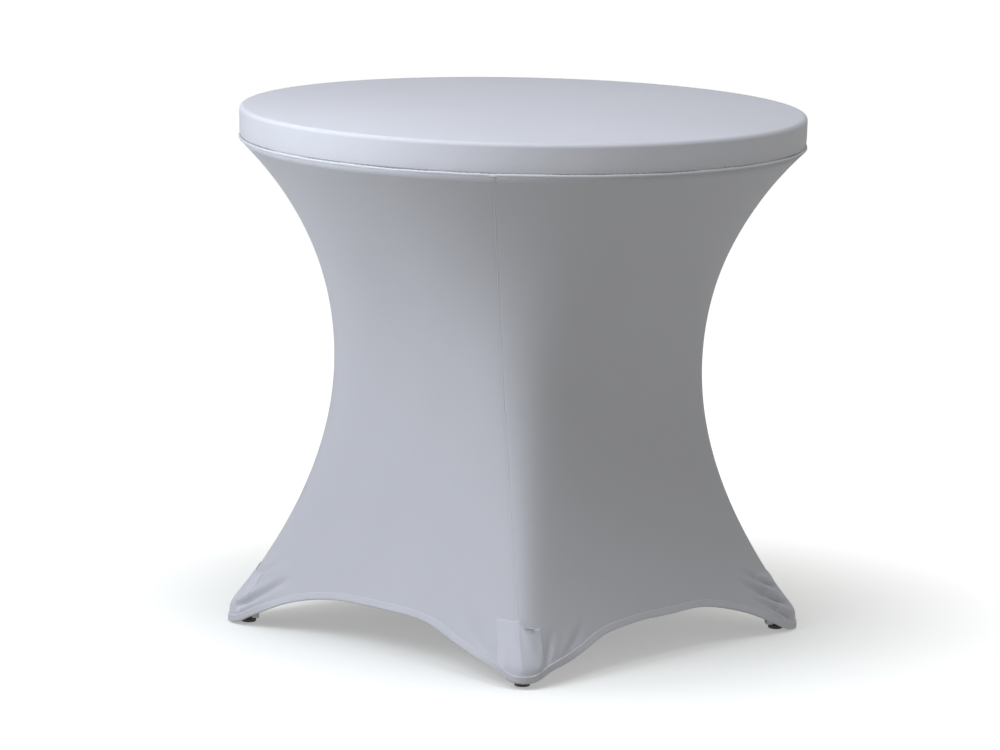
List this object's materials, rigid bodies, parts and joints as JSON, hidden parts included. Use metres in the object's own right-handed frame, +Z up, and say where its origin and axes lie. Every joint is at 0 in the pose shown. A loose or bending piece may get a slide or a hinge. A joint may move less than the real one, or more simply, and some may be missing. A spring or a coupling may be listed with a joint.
{
  "type": "table with fitted stretch cover",
  "caption": "Round banquet table in a tight light grey stretch cover: flat top, narrow waist, arched hem drawn down to corner feet with levelling glides.",
  "frame": {"origin": "on the floor, under the centre of the round top", "axes": "+Z up along the table's axis; the four feet stand on the X and Y axes, the front foot towards -Y"},
  "size_m": [0.8154, 0.8154, 0.75],
  "materials": {
    "cover_fabric": "matt stretched polyester and elastane knit",
    "seam_fabric": "rolled and overlocked seam of the same knit",
    "hem_fabric": "folded hem of the same knit, coverstitched",
    "pocket_fabric": "smooth reinforcing patch of the same colour",
    "webbing": "narrow woven tape",
    "board_core": "raw lightweight board",
    "laminate": "fine textured off-white laminate",
    "edge_band": "semi-matt grey edging",
    "powder_coated_steel": "fine textured grey powder coat",
    "cast_aluminium": "as cast, tumbled",
    "zinc_hardware": "bright zinc plate",
    "glide_nylon": "dark grey moulded nylon"
  },
  "bodies": {
    "covered_table": {"collar_back_half": "cast_aluminium", "collar_bolts": "zinc_hardware", "collar_front_half": "cast_aluminium", "collar_nuts": "zinc_hardware", "corner_seam_back": "seam_fabric", "corner_seam_front": "seam_fabric", "corner_seam_left": "seam_fabric", "corner_seam_right": "seam_fabric", "edge_band": "edge_band", "foot_boss_back": "powder_coated_steel", "foot_boss_front": "powder_coated_steel", "foot_boss_left": "powder_coated_steel", "foot_boss_right": "powder_coated_steel", "foot_patch_back": "pocket_fabric", "foot_patch_front": "pocket_fabric", "foot_patch_left": "pocket_fabric", "foot_patch_right": "pocket_fabric", "foot_strap_back": "webbing", "foot_strap_front": "webbing", "foot_strap_left": "webbing", "foot_strap_right": "webbing", "hem_back_left": "hem_fabric", "hem_back_right": "hem_fabric", "hem_front_left": "hem_fabric", "hem_front_right": "hem_fabric", "leg_tube_back": "powder_coated_steel", "leg_tube_front": "powder_coated_steel", "leg_tube_left": "powder_coated_steel", "leg_tube_right": "powder_coated_steel", "mounting_plate_back": "powder_coated_steel", "mounting_plate_front": "powder_coated_steel", "mounting_plate_left": "powder_coated_steel", "mounting_plate_right": "powder_coated_steel", "plate_screws_back": "zinc_hardware", "plate_screws_front": "zinc_hardware", "plate_screws_left": "zinc_hardware", "plate_screws_right": "zinc_hardware", "rim_seam": "seam_fabric", "skirt_panel_back_left": "cover_fabric", "skirt_panel_back_right": "cover_fabric", "skirt_panel_front_left": "cover_fabric", "skirt_panel_front_right": "cover_fabric", "tabletop_core": "board_core", "top_laminate": "laminate", "top_panel": "cover_fabric", "underside_laminate": "laminate"},
    "glide_front": {"glide_stem_front": "zinc_hardware", "glide_pad_front": "glide_nylon"},
    "glide_right": {"glide_stem_right": "zinc_hardware", "glide_pad_right": "glide_nylon"},
    "glide_back": {"glide_stem_back": "zinc_hardware", "glide_pad_back": "glide_nylon"},
    "glide_left": {"glide_stem_left": "zinc_hardware", "glide_pad_left": "glide_nylon"}
  },
  "joints": [
    {"name": "glide_front_screw", "type": "slide", "parent": "covered_table", "child": "glide_front", "axis": [0, 0, -1], "range_m": [0, 0.008]},
    {"name": "glide_right_screw", "type": "slide", "parent": "covered_table", "child": "glide_right", "axis": [0, 0, -1], "range_m": [0, 0.008]},
    {"name": "glide_back_screw", "type": "slide", "parent": "covered_table", "child": "glide_back", "axis": [0, 0, -1], "range_m": [0, 0.008]},
    {"name": "glide_left_screw", "type": "slide", "parent": "covered_table", "child": "glide_left", "axis": [0, 0, -1], "range_m": [0, 0.008]}
  ]
}
